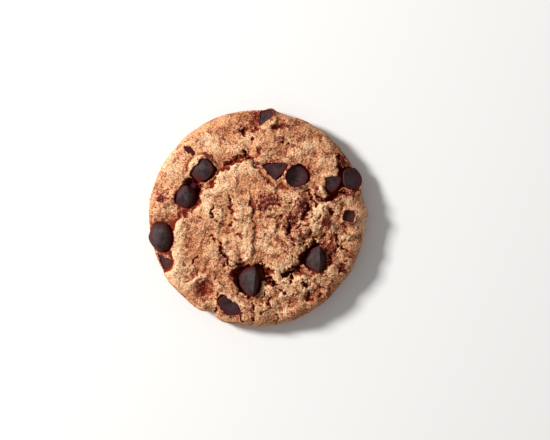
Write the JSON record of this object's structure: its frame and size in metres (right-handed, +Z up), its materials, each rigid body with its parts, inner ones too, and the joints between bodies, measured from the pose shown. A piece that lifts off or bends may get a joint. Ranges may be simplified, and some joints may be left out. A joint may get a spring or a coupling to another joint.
{
  "type": "chocolate chip cookie",
  "caption": "Round baked cookie with a flat underside, a low cracked and crumbly top and dark chocolate chips set into it.",
  "frame": {"origin": "on the surface it rests on, under the middle of the cookie's outline", "axes": "+Z up out of the cracked top; +X and +Y across the cookie, +X to the right and +Y away as the top is looked down on with its bitten-looking notch at the lower left"},
  "size_m": [0.0781, 0.0778, 0.0138],
  "materials": {
    "baked_dough": "matt, crumbly, lightly toasted baked dough",
    "dark_chocolate": "smooth dark chocolate with a dull bloom"
  },
  "bodies": {
    "root": {"dough": "baked_dough", "chip_top_rim": "dark_chocolate", "chip_upper_left_outer": "dark_chocolate", "chip_upper_left_inner": "dark_chocolate", "chip_left_rim": "dark_chocolate", "chip_left_rim_low": "dark_chocolate", "chip_upper_middle": "dark_chocolate", "chip_upper_right_inner": "dark_chocolate", "chip_right_outer": "dark_chocolate", "chip_right_rim": "dark_chocolate", "chip_right_small": "dark_chocolate", "chip_lower_right": "dark_chocolate", "chip_bottom_middle": "dark_chocolate", "chip_bottom_left": "dark_chocolate"}
  },
  "joints": []
}
